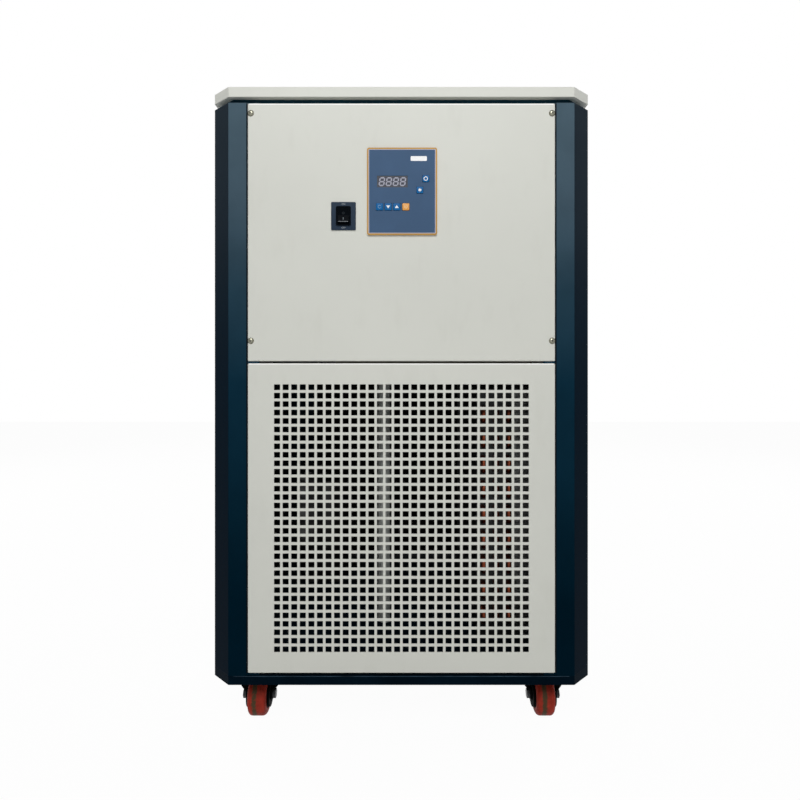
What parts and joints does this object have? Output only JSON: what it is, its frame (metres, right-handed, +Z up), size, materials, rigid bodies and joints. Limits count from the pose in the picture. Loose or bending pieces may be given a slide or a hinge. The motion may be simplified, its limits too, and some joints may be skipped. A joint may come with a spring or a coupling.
{
  "type": "recirculating chiller",
  "caption": "Floor-standing recirculating chiller with a square cabinet on casters, a key panel with display and rocker switch, a perforated lower front, a cooled tank and rear hose nozzles.",
  "frame": {"origin": "on the floor, below the middle of the whole outline", "axes": "+Z up, +Y towards the rear with the hose nozzles, +X to the right as seen from the front"},
  "size_m": [0.6, 0.6526, 1.0404],
  "materials": {
    "painted_cream": "semi-gloss powder coat, cream",
    "painted_navy": "semi-gloss powder coat, dark navy",
    "base_black": "satin black-blue powder coat",
    "stainless": "brushed stainless steel",
    "zinc_steel": "zinc plated steel",
    "fascia_blue": "printed matt overlay",
    "key_blue": "moulded key",
    "key_orange": "moulded key",
    "display": "unlit display",
    "board_green": "circuit board",
    "switch_plate": "moulded plate",
    "switch_black": "moulded nylon",
    "caster_black": "black paint on pressed steel",
    "tread_red": "polyurethane tread",
    "foam": "rigid foam jacket",
    "compressor_black": "black enamel",
    "rubber": "moulded rubber",
    "fin_aluminium": "aluminium fins",
    "copper": "copper tube",
    "fan_plastic": "moulded fan",
    "motor_grey": "grey enamel",
    "hose_grey": "flexible grey hose",
    "brass": "turned brass",
    "gland_black": "moulded nylon"
  },
  "bodies": {
    "root": {"base_pan": "base_black", "cable_gland": "gland_black", "caster_plates": "zinc_steel", "circulation_pump": "motor_grey", "compressor": "compressor_black", "compressor_feet": "rubber", "condenser_bends": "copper", "condenser_fins": "fin_aluminium", "control_board": "board_green", "control_fascia": "fascia_blue", "corner_post_front_left": "painted_navy", "corner_post_front_right": "painted_navy", "corner_post_rear_left": "painted_navy", "corner_post_rear_right": "painted_navy", "display_module": "display", "drain_hose": "hose_grey", "drain_valve": "brass", "fan_motor": "motor_grey", "fan_shroud": "zinc_steel", "heat_exchanger": "stainless", "left_side_panel": "painted_cream", "lid_handle": "stainless", "lower_grille_panel": "painted_cream", "neck_frame": "painted_navy", "rear_panel": "painted_cream", "return_port": "stainless", "right_side_panel": "painted_cream", "rocker_housing": "switch_black", "supply_port": "stainless", "switch_plate": "switch_plate", "tank": "stainless", "tank_insulation": "foam", "tank_lid": "stainless", "tank_shelf": "zinc_steel", "top_cap": "painted_cream", "upper_front_panel": "painted_cream"},
    "swivel_front_left": {"caster_fork_front_left": "caster_black", "caster_axle_front_left": "zinc_steel"},
    "wheel_front_left": {"caster_wheel_front_left": "tread_red"},
    "swivel_front_right": {"caster_fork_front_right": "caster_black", "caster_axle_front_right": "zinc_steel"},
    "wheel_front_right": {"caster_wheel_front_right": "tread_red"},
    "swivel_rear_left": {"caster_fork_rear_left": "caster_black", "caster_axle_rear_left": "zinc_steel"},
    "wheel_rear_left": {"caster_wheel_rear_left": "tread_red"},
    "swivel_rear_right": {"caster_fork_rear_right": "caster_black", "caster_axle_rear_right": "zinc_steel"},
    "wheel_rear_right": {"caster_wheel_rear_right": "tread_red"},
    "rocker": {"rocker": "switch_black"},
    "set_key": {"set_key": "key_blue"},
    "down_key": {"down_key": "key_blue"},
    "up_key": {"up_key": "key_blue"},
    "run_key": {"run_key": "key_orange"},
    "pump_key": {"pump_key": "key_blue"},
    "cooling_key": {"cooling_key": "key_blue"},
    "fan": {"fan_impeller": "fan_plastic"},
    "drain_lever": {"drain_lever": "brass"}
  },
  "joints": [
    {"name": "swivel_front_left_turn", "type": "hinge", "parent": "root", "child": "swivel_front_left", "pos_m": [-0.234, -0.22871, 0.076], "axis": [0, 0, 1], "continuous": true},
    {"name": "wheel_front_left_spin", "type": "hinge", "parent": "swivel_front_left", "child": "wheel_front_left", "pos_m": [-0.234, -0.25871, 0.0325], "axis": [1, 0, 0], "continuous": true},
    {"name": "swivel_front_right_turn", "type": "hinge", "parent": "root", "child": "swivel_front_right", "pos_m": [0.234, -0.22871, 0.076], "axis": [0, 0, 1], "continuous": true},
    {"name": "wheel_front_right_spin", "type": "hinge", "parent": "swivel_front_right", "child": "wheel_front_right", "pos_m": [0.234, -0.25871, 0.0325], "axis": [1, 0, 0], "continuous": true},
    {"name": "swivel_rear_left_turn", "type": "hinge", "parent": "root", "child": "swivel_rear_left", "pos_m": [-0.234, 0.19129, 0.076], "axis": [0, 0, 1], "continuous": true},
    {"name": "wheel_rear_left_spin", "type": "hinge", "parent": "swivel_rear_left", "child": "wheel_rear_left", "pos_m": [-0.234, 0.16129, 0.0325], "axis": [1, 0, 0], "continuous": true},
    {"name": "swivel_rear_right_turn", "type": "hinge", "parent": "root", "child": "swivel_rear_right", "pos_m": [0.234, 0.19129, 0.076], "axis": [0, 0, 1], "continuous": true},
    {"name": "wheel_rear_right_spin", "type": "hinge", "parent": "swivel_rear_right", "child": "wheel_rear_right", "pos_m": [0.234, 0.16129, 0.0325], "axis": [1, 0, 0], "continuous": true},
    {"name": "rocker_tilt", "type": "hinge", "parent": "root", "child": "rocker", "pos_m": [-0.0903, -0.32021, 0.8093], "axis": [1, 0, 0], "range_deg": [0, 20]},
    {"name": "set_key_press", "type": "slide", "parent": "root", "child": "set_key", "axis": [0, 1, 0], "range_m": [0, 0.0005], "stiffness_N_per_m": 400},
    {"name": "down_key_press", "type": "slide", "parent": "root", "child": "down_key", "axis": [0, 1, 0], "range_m": [0, 0.0005], "stiffness_N_per_m": 400},
    {"name": "up_key_press", "type": "slide", "parent": "root", "child": "up_key", "axis": [0, 1, 0], "range_m": [0, 0.0005], "stiffness_N_per_m": 400},
    {"name": "run_key_press", "type": "slide", "parent": "root", "child": "run_key", "axis": [0, 1, 0], "range_m": [0, 0.0005], "stiffness_N_per_m": 400},
    {"name": "pump_key_press", "type": "slide", "parent": "root", "child": "pump_key", "axis": [0, 1, 0], "range_m": [0, 0.0005], "stiffness_N_per_m": 400},
    {"name": "cooling_key_press", "type": "slide", "parent": "root", "child": "cooling_key", "axis": [0, 1, 0], "range_m": [0, 0.0005], "stiffness_N_per_m": 400},
    {"name": "fan_spin", "type": "hinge", "parent": "root", "child": "fan", "pos_m": [0.239, -0.00871, 0.312], "axis": [1, 0, 0], "continuous": true},
    {"name": "drain_lever_turn", "type": "hinge", "parent": "root", "child": "drain_lever", "pos_m": [0.18, 0.30229, 0.173], "axis": [0, 0, 1], "range_deg": [0, 90]}
  ]
}
